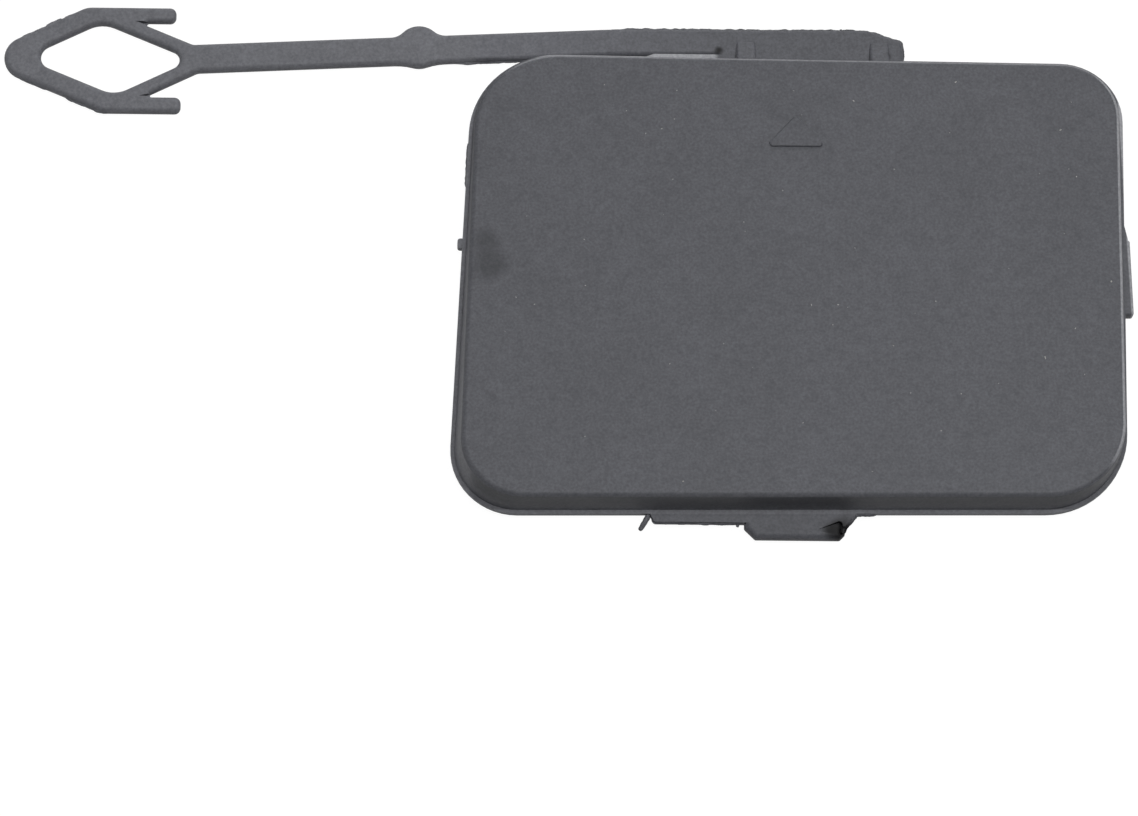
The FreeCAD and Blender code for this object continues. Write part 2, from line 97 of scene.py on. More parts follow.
# Shares of a tooth: one step of the swept fin, and the pitch of a tooth against that of a swell
FLASH_STEP = 0.2
FLASH_SWELL = 0.22
# How much thinner the flash grows from its foot to its rim
FLASH_THINNING = 0.75

# Torn nibs: foot, lean towards the tip, width at the foot
NIBS = (
    ((-16.15, -27.2, 1.5), (-1.1, -1.95, 0.05), 0.8),
    ((-15.3, -27.9, 1.55), (0.05, -0.45, 0.0), 0.6),
    ((-6.35, -28.1, 1.5), (-0.15, -0.5, 0.0), 0.45),
    ((37.35, 5.6, 1.5), (0.2, 0.45, 0.0), 0.5),
    ((37.55, -2.3, 1.3), (0.5, 0.0, 0.0), 0.7),
    ((5.9, 30.85, 0.75), (0.1, 0.55, 0.05), 0.5),
    ((6.5, 30.85, 0.75), (-0.05, 0.45, 0.0), 0.4),
    ((-13.8, 30.7, 0.75), (0.0, 0.45, 0.0), 0.4),
    ((-17.1, 30.6, 0.75), (-0.1, 0.4, 0.0), 0.4),
    ((-8.0, 28.2, 0.8), (-0.9, -0.35, 0.1), 0.6),
    ((-84.4, 30.1, 0.7), (-0.35, 0.6, 0.0), 0.7),
)

# Specks of lint that stand out on the face: place, lean and width
LINT_FLECKS = (
    ((30.4, 18.2), (0.22, 0.1), 0.2),
    ((27.6, -9.5), (0.12, -0.42), 0.16),
    ((35.4, -0.5), (0.05, 0.2), 0.24),
    ((7.0, 21.7), (0.2, -0.12), 0.13),
    ((18.7, 24.1), (0.18, 0.12), 0.13),
    ((1.8, -3.5), (0.08, -0.7), 0.07),
    ((4.7, -3.6), (0.2, 0.05), 0.14),
    ((10.9, -8.5), (-0.15, 0.15), 0.12),
    ((-12.7, -24.8), (0.2, 0.08), 0.14),
    ((31.1, -6.2), (0.1, 0.16), 0.13),
)
# Fine specks keep this far from the cap's sides and from its ends, in millimetres
LINT_MARGINS = (3.5, 3.0)
# Least and most stretch of a fine speck along its three sides
SPECK_LEAST, SPECK_MOST = (0.7, 0.5, 0.4), (2.2, 1.1, 0.5)

# Shards are rough cones: waver of their skin in millimetres, and radius of the tip as a share of
# the width at the foot
NIB_WAVER, NIB_TIP = 0.25, 0.38
FLECK_WAVER, FLECK_TIP = 0.08, 0.3
GATE_WAVER, GATE_TIP = 0.15, 0.36
# Width of one wave of a shard's skin, in millimetres
SHARD_WAVE = 0.4
# The gate's stub starts this deep in the wall and is this long, in millimetres
GATE_SUNK, GATE_LENGTH = 0.3, 1.1
GATE_SEED = 3.0
# No ejector pin stands nearer to the cap's middle line than this, in millimetres
PIN_CLEARANCE = 1.0

# Bands that tell the plastic's tones apart: name, the measure read, how the band grows, where it
# starts and where it is full in millimetres, and how strong it is there
BANDS = (
    ("above_cap", "y", "SMOOTHSTEP", CAP_HALF_HEIGHT - 0.1, CAP_HALF_HEIGHT + 0.1, 1.0),
    ("beside_cap", "x", "SMOOTHSTEP", STRAP_LEAVES_CAP, STRAP_LEAVES_CAP - 0.4, 1.0),
    ("towards_anchor", "x", "SMOOTHSTEP", 6.0, -60.0, 1.0),
    ("under_rim", "drop", "SMOOTHSTEP", 0.35, 0.6, 1.0),
    ("over_lip", "z", "LINEAR", LIP_TOP + 0.5, LIP_TOP + 2.0, 1.0),
    ("front_side", "y", "SMOOTHSTEP", 5.0 - CAP_HALF_HEIGHT, 1.6 - CAP_HALF_HEIGHT, 1.0),
    ("strip_outside", "across", "SMOOTHSTEP", -0.15 - CAP_HALF_HEIGHT, 0.05 - CAP_HALF_HEIGHT, 1.0),
    ("strip_inside", "across", "SMOOTHSTEP", 0.6 - CAP_HALF_HEIGHT, 0.4 - CAP_HALF_HEIGHT, 1.0),
    ("left_side", "x", "SMOOTHSTEP", 2.2 - CAP_HALF_WIDTH, 0.8 - CAP_HALF_WIDTH, 1.0),
    ("rim_starts", "drop", "SMOOTHSTEP", 0.02, 0.07, 1.0),
    ("rim_ends", "drop", "SMOOTHSTEP", 0.42, 0.22, 1.0),
    ("right_side", "x", "SMOOTHSTEP", CAP_HALF_WIDTH - 4.0, CAP_HALF_WIDTH - 1.2, 1.0),
    ("top_side", "y", "SMOOTHSTEP", CAP_HALF_HEIGHT - 3.0, CAP_HALF_HEIGHT - 1.0, 0.55),
    ("clip_edge", "leaning", "SMOOTHSTEP", CAP_HALF_WIDTH + 0.45, CAP_HALF_WIDTH + 0.65, 1.0),
    ("ledge_top", "z", "LINEAR", LIP_TOP - 0.15, LIP_TOP - 0.05, 1.0),
    ("ledge_left", "x", "LINEAR", FLANGE_LEFT, FLANGE_LEFT - 0.5, 1.0),
    ("ledge_back", "y", "LINEAR", CAP_HALF_HEIGHT - 0.3, CAP_HALF_HEIGHT, 1.0),
)

# Areas made of those bands: name, how its parts join, and the parts
AREAS = (
    ("strap", "MAXIMUM", ("above_cap", "beside_cap")),
    # The strap's painted sheen, strongest towards the anchor
    ("strap_painted_sheen", "MULTIPLY", ("strap", "towards_anchor")),
    # Painted shade on the front wall, full at its top and fading towards the lip
    ("front_wall_shade", "MULTIPLY", ("front_side", "under_rim", "over_lip")),
    ("lip_strip", "MULTIPLY", ("strip_outside", "strip_inside")),
    ("left_wall", "MULTIPLY", ("left_side", "under_rim")),
    # Painted light on the lip strip and the left wall
    ("painted_lit_edges", "MAXIMUM", ("lip_strip", "left_wall")),
    # Painted highlights on the rim's top and right sides, the clip's outer edge and the slot ledge
    ("highlit_sides", "MAXIMUM", ("right_side", "top_side")),
    ("rim_highlight", "MULTIPLY", ("highlit_sides", "rim_starts", "rim_ends")),
    ("slot_ledge", "MULTIPLY", ("ledge_back", "ledge_top", "ledge_left")),
    ("painted_highlights", "MAXIMUM", ("clip_edge", "rim_highlight", "slot_ledge")),
)

# Blots on the plastic, in millimetres: place, radius of the full tone, radius of its end, colour.
# The rubbed smear is two of them. The rest are painted shade: two in the hollow beside the tongue,
# one by the right gusset and one at the end of the strap's slot.
BLOTS = (
    ((-34.3, 3.9, face_height(3.9)), 0.3, 2.2, "smear_colour"),
    ((-33.9, 1.1, face_height(1.1)), 0.8, 2.8, "smear_colour"),
    ((5.1, -29.1, 1.2), 0.7, 2.4, "scorch_colour"),
    ((3.9, -28.9, 1.4), 0.0, 1.7, "scorch_colour"),
    ((11.2, 27.8, 1.4), 0.0, 0.75, "scorch_colour"),
    ((-8.1, 28.35, 1.3), 0.0, 0.75, "scorch_colour"),
)
# How far a blot's edge wanders and the width of one wave of it, in millimetres
BLOT_WAVER, BLOT_WAVE = 0.9, 2.0

# Lamps: bearing and height in degrees, distance and size in metres, power in watts
LAMPS = (
    ("overhead softbox", 90, 88, 0.9, 0.5, 0.5, 3.1),
    ("right softbox", 0, 65, 0.9, 0.5, 0.4, 3.05),
    ("left strip", 180, 20, 0.9, 0.6, 0.25, 0.9),
    ("front softbox", 270, 72, 0.9, 0.6, 0.4, 0.5),
    ("back strip", 85, 22, 0.9, 0.7, 0.25, 2.8),
)

# The floor: half its side in metres, its gap under the cover in millimetres, its glow, and how
# much of that glow the camera and reflections see
FLOOR_HALF, FLOOR_GAP = 4.0, 0.02
FLOOR_GLOW, GLOW_SEEN, GLOW_MIRRORED = 1.1, 0.88, 0.4

# The camera, as points of the photo place it for a frame of 1138 by 816: millimetres and degrees
CAMERA_PLACE = (-32.089, -156.201, 428.358)
CAMERA_TURN = (18.299, -1.034, 0.273)


def add_node(tree, kind, settings=None, inputs=None):
    """Adds a node, applies its settings, and sets or links its inputs by name or by place."""
    node = tree.nodes.new(kind)
    for name, value in (settings or {}).items():
        setattr(node, name, value)
    for name, value in (inputs or {}).items():
        if isinstance(value, bpy.types.NodeSocket):
            tree.links.new(value, node.inputs[name])
        else:
            node.inputs[name].default_value = value
    return node


class CoverPlastic(bpy.types.PropertyGroup):
    """Colours and grain of the moulded plastic."""
    colour: FloatVectorProperty(
        name="Plastic", description="Body colour of the polypropylene",
        subtype="COLOR", size=4, min=0, max=1, default=linear("#57585d"))
    # Painted sheen: the strap is coloured paler, most towards its anchor, for the back light it reflects
    strap_sheen_colour: FloatVectorProperty(
        name="Strap", description="Colour of the paler, smoother skin towards the strap's anchor",
        subtype="COLOR", size=4, min=0, max=1, default=linear("#6e6f75"))
    smear_colour: FloatVectorProperty(
        name="Smear", description="Colour of the rubbed patch near the left edge",
        subtype="COLOR", size=4, min=0, max=1, default=linear("#47484c"))
    # Painted highlights: the rim's top and right sides, the clip's outer edge and the slot ledge are
    # coloured bright for the lamps they catch
    highlight_colour: FloatVectorProperty(
        name="Painted highlights", description="Colour of the rim, clip and slot ledge, rubbed bright",
        subtype="COLOR", size=4, min=0, max=1, default=linear("#98999d"))
    # Painted shade: the front wall above the tongue is coloured darker, most at its top, for the shade it
    # stands in
    wall_shade_colour: FloatVectorProperty(
        name="Front wall", description="Colour of the smoother, darker wall above the tongue",
        subtype="COLOR", size=4, min=0, max=1, default=linear("#414246"))
    # Painted light: the lip under the front wall and the left wall are coloured paler for the light they
    # catch
    lit_lip_colour: FloatVectorProperty(
        name="Lip", description="Colour of the paler lip under the front wall and of the left wall",
        subtype="COLOR", size=4, min=0, max=1, default=linear("#6a6b70"))
    # Painted shade: the hollow in the tongue and two small blots, by the right gusset and at the slot's
    # end, are coloured near black
    scorch_colour: FloatVectorProperty(
        name="Painted shade", description="Colour of the scorched hollow in the tongue and of two small blots",
        subtype="COLOR", size=4, min=0, max=1, default=linear("#141416"))
    grain: FloatProperty(
        name="Grain", description="Width of one grain of the spark-eroded texture",
        unit="LENGTH", default=0.3 * MM, min=0.02 * MM, precision=5)
    grain_depth: FloatProperty(
        name="Grain depth", description="Depth of the spark-eroded texture",
        unit="LENGTH", default=0.02 * MM, min=0.0, precision=6)
    clouds: FloatProperty(
        name="Clouds", description="Width of the faint flow clouds in the skin",
        unit="LENGTH", default=7 * MM, min=1 * MM, precision=4)


class CoverFlash(bpy.types.PropertyGroup):
    """Flash and torn nibs on the parting edges."""
    reach: FloatProperty(
        name="Reach", description="How far the strongest flash stands out of the parting edge",
        unit="LENGTH", default=0.36 * MM, min=0.0, precision=5)
    thickness: FloatProperty(
        name="Thickness", description="Thickness of the flash at its foot",
        unit="LENGTH", default=0.45 * MM, min=0.01 * MM, precision=5)
    tooth: FloatProperty(
        name="Tooth", description="Width of one ragged tooth of the flash",
        unit="LENGTH", default=0.75 * MM, min=0.05 * MM, precision=5)
    seed: IntProperty(name="Seed", description="Changes where the flash is ragged", default=7)


class CoverLint(bpy.types.PropertyGroup):
    """Lint on the face."""
    colour: FloatVectorProperty(
        name="Lint", description="Colour of the lint", subtype="COLOR", size=4, min=0, max=1,
        default=linear("#b6b4b0"))
    density: FloatProperty(
        name="Specks per square metre", description="How thickly the fine specks lie",
        default=14000.0, min=0.0)
    speck: FloatProperty(
        name="Speck", description="Width of a fine speck", unit="LENGTH",
        default=0.055 * MM, min=0.01 * MM, precision=6)
    seed: IntProperty(name="Seed", description="Changes where the fine specks lie", default=11)


class CoverBack(bpy.types.PropertyGroup):
    """Marks of the mould on the back."""
    pin: FloatProperty(
        name="Ejector pin", description="Diameter of an ejector pin's ring", unit="LENGTH",
        default=4 * MM, min=1 * MM, precision=4)
    ring: FloatProperty(
        name="Ring", description="Width of the raised ring round a pin", unit="LENGTH",
        default=0.16 * MM, min=0.02 * MM, precision=5)
    gate: FloatProperty(
        name="Gate", description="Width of the sheared gate's stub", unit="LENGTH",
        default=2.2 * MM, min=0.5 * MM, precision=4)


class CoverStage(bpy.types.PropertyGroup):
    """Floor, lamps and camera."""
    floor_colour: FloatVectorProperty(
        name="Floor", description="Colour of the pale floor",
        subtype="COLOR", size=4, min=0, max=1, default=linear("#dadada"))
    level: FloatProperty(name="Level", description="Brightness of all lamps", default=1.0, min=0.0)
    lens: FloatProperty(
        name="Lens", description="Focal length of the camera", unit="CAMERA", default=128.12, min=1.0)


def plastic_material():
    """Grained polypropylene for the whole moulding."""
    # Unpainted dark grey polypropylene, moulded against a finely spark-eroded cavity: a dull skin
    # with a sandy grain, faint clouds where the melt flowed and a rubbed dark patch on the face. Over
    # that, light and shade are painted into the colour: a sheen on the strap, highlights on the rim,
    # clip and slot ledge, shade on the front wall, light on the lip and left wall, and shade in the
    # hollow beside the tongue, by the right gusset and at the end of the strap's slot.
    # The real grain is near 0.05 mm, too fine to show, and is drawn several times coarser.
    size = bpy.context.scene.cover_plastic
    material = bpy.data.materials.new("spark_eroded_moulded_polypropylene")
    material.use_nodes = True
    tree = material.node_tree
    tree.nodes.clear()
    place = add_node(tree, "ShaderNodeTexCoord").outputs["Object"]
    along = add_node(tree, "ShaderNodeSeparateXYZ", inputs={0: place}).outputs

    # The skin: grain, coarser mottle and clouds, each a few percent of the colour
    noises, tones = {}, []
    for name, scale, detail, roughness, distortion, swing in (
            ("grain", 1 / size.grain, 2.0, 0.7, 0.0, 0.16),
            ("mottle", 0.25 / size.grain, 2.0, 0.6, 0.0, 0.07),
            ("clouds", 1 / size.clouds, 3.0, 0.5, 0.6, 0.05)):
        noises[name] = add_node(tree, "ShaderNodeTexNoise", inputs={
            "Vector": place, "Scale": scale, "Detail": detail, "Roughness": roughness,
            "Distortion": distortion}).outputs[0]
        tones.append(add_node(tree, "ShaderNodeMapRange", inputs={
            "Value": noises[name], "From Min": 0.3, "From Max": 0.7, "To Min": 1 - swing,
            "To Max": 1 + swing}).outputs[0])
    tone = tones[0]
    for part in tones[1:]:
        tone = add_node(tree, "ShaderNodeMath", {"operation": "MULTIPLY"}, {0: tone, 1: part}).outputs[0]

    # What the bands read: the drop below the sloping face tells the rim from the walls under it,
    # and the other two follow the leaning bottom and right edges
    level = add_node(tree, "ShaderNodeMath", {"operation": "MULTIPLY_ADD"}, {
        0: along["Y"], 1: -FACE_SLOPE, 2: FACE_MIDDLE * MM})
    drop = add_node(tree, "ShaderNodeMath", {"operation": "SUBTRACT"}, {
        0: level.outputs[0], 1: along["Z"]})
    across = add_node(tree, "ShaderNodeMath", {"operation": "MULTIPLY_ADD"}, {
        0: along["X"], 1: -BOTTOM_RISE, 2: along["Y"]})
    leaning = add_node(tree, "ShaderNodeMath", {"operation": "MULTIPLY_ADD"}, {
        0: along["Y"], 1: RIGHT_LEAN, 2: along["X"]})
    measures = {
        "x": along["X"], "y": along["Y"], "z": along["Z"], "drop": drop.outputs[0],
        "across": across.outputs[0], "leaning": leaning.outputs[0]}
    masks = {}
    for name, measure, growth, start, full, strength in BANDS:
        masks[name] = add_node(tree, "ShaderNodeMapRange", {"interpolation_type": growth}, {
            "Value": measures[measure], "From Min": start * MM, "From Max": full * MM,
            "To Max": strength}).outputs[0]
    for name, joining, parts in AREAS:
        mask = masks[parts[0]]
        for part in parts[1:]:
            mask = add_node(tree, "ShaderNodeMath", {"operation": joining}, {
                0: mask, 1: masks[part]}).outputs[0]
        masks[name] = mask

    # The body's colour, and over it painted light and shade: a sheen on the strap, shade on the
    # front wall, light on the lip and left wall, and highlights on the rim, clip and slot ledge
    coat = tuple(size.colour)
    for area, colour in (
            ("strap_painted_sheen", size.strap_sheen_colour), ("front_wall_shade", size.wall_shade_colour),
            ("painted_lit_edges", size.lit_lip_colour), ("painted_highlights", size.highlight_colour)):
        coat = add_node(tree, "ShaderNodeMix", {"data_type": "RGBA"}, {
            0: masks[area], 6: coat, 7: tuple(colour)}).outputs[2]

    # Blots whose edges wander
    waver = add_node(tree, "ShaderNodeTexNoise", inputs={
        "Vector": place, "Scale": 1 / (BLOT_WAVE * MM), "Detail": 2.0})
    for spot, core, reach, colour in BLOTS:
        away = add_node(tree, "ShaderNodeVectorMath", {"operation": "DISTANCE"}, {
            0: place, 1: tuple(Vector(spot) * MM)})
        wandering = add_node(tree, "ShaderNodeMath", {"operation": "MULTIPLY_ADD"}, {
            0: waver.outputs[0], 1: BLOT_WAVER * MM, 2: away.outputs["Value"]})
        blot = add_node(tree, "ShaderNodeMapRange", {"interpolation_type": "SMOOTHSTEP"}, {
            "Value": wandering.outputs[0], "From Min": (reach + BLOT_WAVER / 2) * MM,
            "From Max": (core + BLOT_WAVER / 2) * MM})
        coat = add_node(tree, "ShaderNodeMix", {"data_type": "RGBA"}, {
            0: blot.outputs[0], 6: coat, 7: tuple(getattr(size, colour))}).outputs[2]
    toned = add_node(tree, "ShaderNodeVectorMath", {"operation": "SCALE"}, {0: coat, "Scale": tone})

    rough = add_node(tree, "ShaderNodeMapRange", inputs={
        "Value": noises["clouds"], "From Min": 0.3, "From Max": 0.7, "To Min": 0.5, "To Max": 0.58})
    bump = add_node(tree, "ShaderNodeBump", inputs={
        "Strength": 0.5, "Distance": size.grain_depth, "Height": noises["grain"]})
    shader = add_node(tree, "ShaderNodeBsdfPrincipled", inputs={
        "Base Color": toned.outputs[0], "Roughness": rough.outputs[0], "IOR": 1.49,
        "Specular IOR Level": 0.3, "Normal": bump.outputs[0]})
    add_node(tree, "ShaderNodeOutputMaterial", inputs={"Surface": shader.outputs[0]})
    return material


def lint_material():
    """Pale fluff that lies on the face."""
    # Cotton lint from handling: off-white, fully matte, uneven from fleck to fleck
    material = bpy.data.materials.new("cotton_lint")
    material.use_nodes = True
    tree = material.node_tree
    tree.nodes.clear()
    place = add_node(tree, "ShaderNodeTexCoord").outputs["Object"]
    fleck = add_node(tree, "ShaderNodeTexNoise", inputs={"Vector": place, "Scale": 0.3 / MM})
    tone = add_node(tree, "ShaderNodeMapRange", inputs={
        "Value": fleck.outputs[0], "From Min": 0.3, "From Max": 0.7, "To Min": 0.55, "To Max": 1.2})
    toned = add_node(tree, "ShaderNodeVectorMath", {"operation": "SCALE"}, {
        0: tuple(bpy.context.scene.cover_lint.colour)[:3], "Scale": tone.outputs[0]})
    shader = add_node(tree, "ShaderNodeBsdfPrincipled", inputs={
        "Base Color": toned.outputs[0], "Roughness": 0.9, "IOR": 1.53, "Specular IOR Level": 0.2})
    add_node(tree, "ShaderNodeOutputMaterial", inputs={"Surface": shader.outputs[0]})
    return material


def geometry_tree(name, sizes):
    """Geometry tree with named inputs, and the sockets that give them."""
    tree = bpy.data.node_groups.new(name, "GeometryNodeTree")
    tree.interface.new_socket("Geometry", in_out="INPUT", socket_type="NodeSocketGeometry")
    for title, kind in sizes:
        tree.interface.new_socket(title, in_out="INPUT", socket_type="NodeSocket" + kind)
    tree.interface.new_socket("Geometry", in_out="OUTPUT", socket_type="NodeSocketGeometry")
    return tree, add_node(tree, "NodeGroupInput").outputs


def end_tree(tree, given, shape):
    """Ends a tree: instances made real, and the material set."""
    real = add_node(tree, "GeometryNodeRealizeInstances", inputs={0: shape})
    dressed = add_node(tree, "GeometryNodeSetMaterial", inputs={
        "Geometry": real.outputs[0], "Material": given["Material"]})
    add_node(tree, "NodeGroupOutput", inputs={0: dressed.outputs[0]})
    return tree


def grow(name, mesh, tree, sizes):
    """Runs a tree on a mesh and leaves a plain piece that rides the moulding."""
    piece = bpy.data.objects.new(name, mesh)
    bpy.context.scene.collection.objects.link(piece)
    modifier = piece.modifiers.new(name, "NODES")
    modifier.node_group = tree
    for item in tree.interface.items_tree:
        if item.in_out == "INPUT" and item.name in sizes:
            modifier[item.identifier] = sizes[item.name]
    graph = bpy.context.evaluated_depsgraph_get()
    result = bpy.data.meshes.new_from_object(piece.evaluated_get(graph), depsgraph=graph)
    piece.modifiers.remove(modifier)
    if not result.polygons:
        raise RuntimeError(name + " came out empty")
    tidy = bmesh.new()
    tidy.from_mesh(result)
    bmesh.ops.recalc_face_normals(tidy, faces=tidy.faces)
    tidy.to_mesh(result)
    tidy.free()
    piece.data = result
    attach(piece, BODY)


def point_mesh(name, points, attributes):
    """Loose points in millimetres that carry named values for a tree to read."""
    mesh = bpy.data.meshes.new(name)
    mesh.from_pydata([Vector(p) * MM for p in points], [], [])
    for title, kind, values in attributes:
        layer = mesh.attributes.new(title, kind, "POINT")
        for item, value in zip(layer.data, values):
            if kind == "FLOAT":
                item.value = value
            else:
                item.vector = value
    return mesh


def enclosed_area(outline):
    """Signed area inside an outline: below zero round a hole."""
    pairs = zip(outline, outline[1:] + outline[:1])
    return sum(a.x * b.y - b.x * a.y for a, b in pairs) / 2


def parting_outlines(height):
    """Outer outlines of the moulding at a height, each run with the plastic on its left."""
    sliced = bmesh.new()
    sliced.from_mesh(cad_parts[NODE].data)
    bmesh.ops.remove_doubles(sliced, verts=sliced.verts, dist=1e-3 * MM)
    everything = sliced.verts[:] + sliced.edges[:] + sliced.faces[:]
    cut = bmesh.ops.bisect_plane(
        sliced, geom=everything, plane_co=(0, 0, height * MM), plane_no=(0, 0, 1), clear_outer=True)
    following = {}
    for edge in cut["geom_cut"]:
        if isinstance(edge, bmesh.types.BMEdge) and edge.link_loops:
            below = edge.link_loops[0]
            following[below.link_loop_next.vert] = below.vert
    outlines = []
    while following:
        vert, after = following.popitem()
        outline = [vert.co / MM]
        while after in following:
            outline.append(after.co / MM)
            after = following.pop(after)
        outlines.append(outline)
    sliced.free()
    return [outline for outline in outlines if enclosed_area(outline) > 0]


def stepped(outline, step):
    """Points at short steps round a closed outline."""
    points = []
    for start, end in zip(outline, outline[1:] + outline[:1]):
        pieces = max(1, round((end - start).length / step))
        points.extend(start.lerp(end, k / pieces) for k in range(pieces))
    return points


def flash_lines():
    """Mesh of the parting edges that carry flash, with the strength of the flash on each."""
    verts, edges, strengths = [], [], []
    outlines = {}
    for height, low_x, high_x, low_y, high_y, strength in FLASH_STRETCHES:
        if height not in outlines:
            outlines[height] = [stepped(o, FLASH_POINT_STEP) for o in parting_outlines(height)]
        for outline in outlines[height]:
            inside = [low_x < p.x < high_x and low_y < p.y < high_y for p in outline]
            for i, point in enumerate(outline):
                if inside[i]:
                    if inside[i - 1] and i > 0:
                        edges.append((len(verts) - 1, len(verts)))
                    verts.append(point)
                    strengths.append(strength)
    mesh = point_mesh("flash_lines", verts, [("strength", "FLOAT", strengths)])
    mesh.edges.add(len(edges))
    for edge, ends in zip(mesh.edges, edges):
        edge.vertices = ends
    return mesh


def flash_tree():
    """A fin swept along the parting edges, its outer rim pulled in unevenly."""
    tree, given = geometry_tree("ragged flash", (
        ("Reach", "Float"), ("Thickness", "Float"), ("Tooth", "Float"), ("Seed", "Float"),
        ("Material", "Material")))
    line = add_node(tree, "GeometryNodeMeshToCurve", inputs={0: given["Geometry"]})
    step = add_node(tree, "ShaderNodeMath", {"operation": "MULTIPLY"}, {
        0: given["Tooth"], 1: FLASH_STEP})
    even = add_node(tree, "GeometryNodeResampleCurve", {"mode": "LENGTH"}, {
        "Curve": line.outputs[0], "Length": step.outputs[0]})
    level = add_node(tree, "GeometryNodeSetCurveNormal", {"mode": "Z_UP"}, {"Curve": even.outputs[0]})
    route = add_node(tree, "GeometryNodeCaptureAttribute", {"domain": "POINT"}, {0: level.outputs[0]})
    route.capture_items.new("VECTOR", "Outwards")
    route.capture_items.new("FLOAT", "Share")
    normal = add_node(tree, "GeometryNodeInputNormal")
    tree.links.new(normal.outputs[0], route.inputs["Outwards"])
    parameter = add_node(tree, "GeometryNodeSplineParameter")
    tree.links.new(parameter.outputs["Factor"], route.inputs["Share"])

    # The section is centred on the edge, so that half of it lies in the plastic
    width = add_node(tree, "ShaderNodeMath", {"operation": "MULTIPLY"}, {0: given["Reach"], 1: 2.0})
    section = add_node(tree, "GeometryNodeCurvePrimitiveQuadrilateral", {"mode": "RECTANGLE"}, {
        "Width": width.outputs[0], "Height": given["Thickness"]})
    profile = add_node(tree, "GeometryNodeCaptureAttribute", {"domain": "POINT"}, {
        0: section.outputs[0]})
    profile.capture_items.new("VECTOR", "Corner")
    position = add_node(tree, "GeometryNodeInputPosition")
    tree.links.new(position.outputs[0], profile.inputs["Corner"])
    fin = add_node(tree, "GeometryNodeCurveToMesh", inputs={
        "Curve": route.outputs[0], "Profile Curve": profile.outputs[0], "Fill Caps": True})
    corner = add_node(tree, "ShaderNodeSeparateXYZ", inputs={0: profile.outputs["Corner"]}).outputs
    outer = add_node(tree, "ShaderNodeMath", {"operation": "GREATER_THAN"}, {
        0: corner["X"], 1: 0.0}).outputs[0]

    # How much of the reach is kept: less towards the ends of a stretch, between teeth and between
    # the longer swells
    to_end = add_node(tree, "ShaderNodeMath", {"operation": "PINGPONG"}, {
        0: route.outputs["Share"], 1: 0.5})
    kept = add_node(tree, "ShaderNodeMapRange", inputs={
        "Value": to_end.outputs[0], "From Min": 0.0, "From Max": 0.08, "To Min": 0.4,
        "To Max": 1.0}).outputs[0]
    pitch = add_node(tree, "ShaderNodeMath", {"operation": "DIVIDE"}, {0: 1.0, 1: given["Tooth"]})
    spread = add_node(tree, "ShaderNodeMath", {"operation": "MULTIPLY"}, {
        0: pitch.outputs[0], 1: FLASH_SWELL})
    factors = []
    for scale, detail, low, high, least in (
            (pitch, 2.0, 0.35, 0.65, 0.5),
            (spread, 1.0, 0.4, 0.6, 0.75)):
        noise = add_node(tree, "ShaderNodeTexNoise", {"noise_dimensions": "4D"}, {
            "W": given["Seed"], "Scale": scale.outputs[0], "Detail": detail})
        factors.append(add_node(tree, "ShaderNodeMapRange", inputs={
            "Value": noise.outputs[0], "From Min": low, "From Max": high, "To Min": least,
            "To Max": 1.0}))
    factors.append(add_node(tree, "GeometryNodeInputNamedAttribute", {"data_type": "FLOAT"}, {
        "Name": "strength"}))
    for factor in factors:
        kept = add_node(tree, "ShaderNodeMath", {"operation": "MULTIPLY"}, {
            0: kept, 1: factor.outputs[0]}).outputs[0]

    # The outer rim is pulled in by the rest, and thinned
    pulled = add_node(tree, "ShaderNodeMath", {"operation": "SUBTRACT"}, {0: kept, 1: 1.0})
    distance = add_node(tree, "ShaderNodeMath", {"operation": "MULTIPLY"}, {
        0: pulled.outputs[0], 1: given["Reach"]})
    drawn = add_node(tree, "ShaderNodeMath", {"operation": "MULTIPLY"}, {
        0: distance.outputs[0], 1: outer})
    inwards = add_node(tree, "ShaderNodeVectorMath", {"operation": "SCALE"}, {
        0: route.outputs["Outwards"], "Scale": drawn.outputs[0]})
    height = add_node(tree, "ShaderNodeMath", {"operation": "MULTIPLY"}, {0: corner["Y"], 1: outer})
    thin = add_node(tree, "ShaderNodeMath", {"operation": "MULTIPLY"}, {
        0: height.outputs[0], 1: FLASH_THINNING})
    lift = add_node(tree, "ShaderNodeCombineXYZ", inputs={"Z": thin.outputs[0]})
    shift = add_node(tree, "ShaderNodeVectorMath", {"operation": "ADD"}, {
        0: inwards.outputs[0], 1: lift.outputs[0]})
    ragged = add_node(tree, "GeometryNodeSetPosition", inputs={
        "Geometry": fin.outputs[0], "Offset": shift.outputs[0]})
    return end_tree(tree, given, ragged.outputs[0])


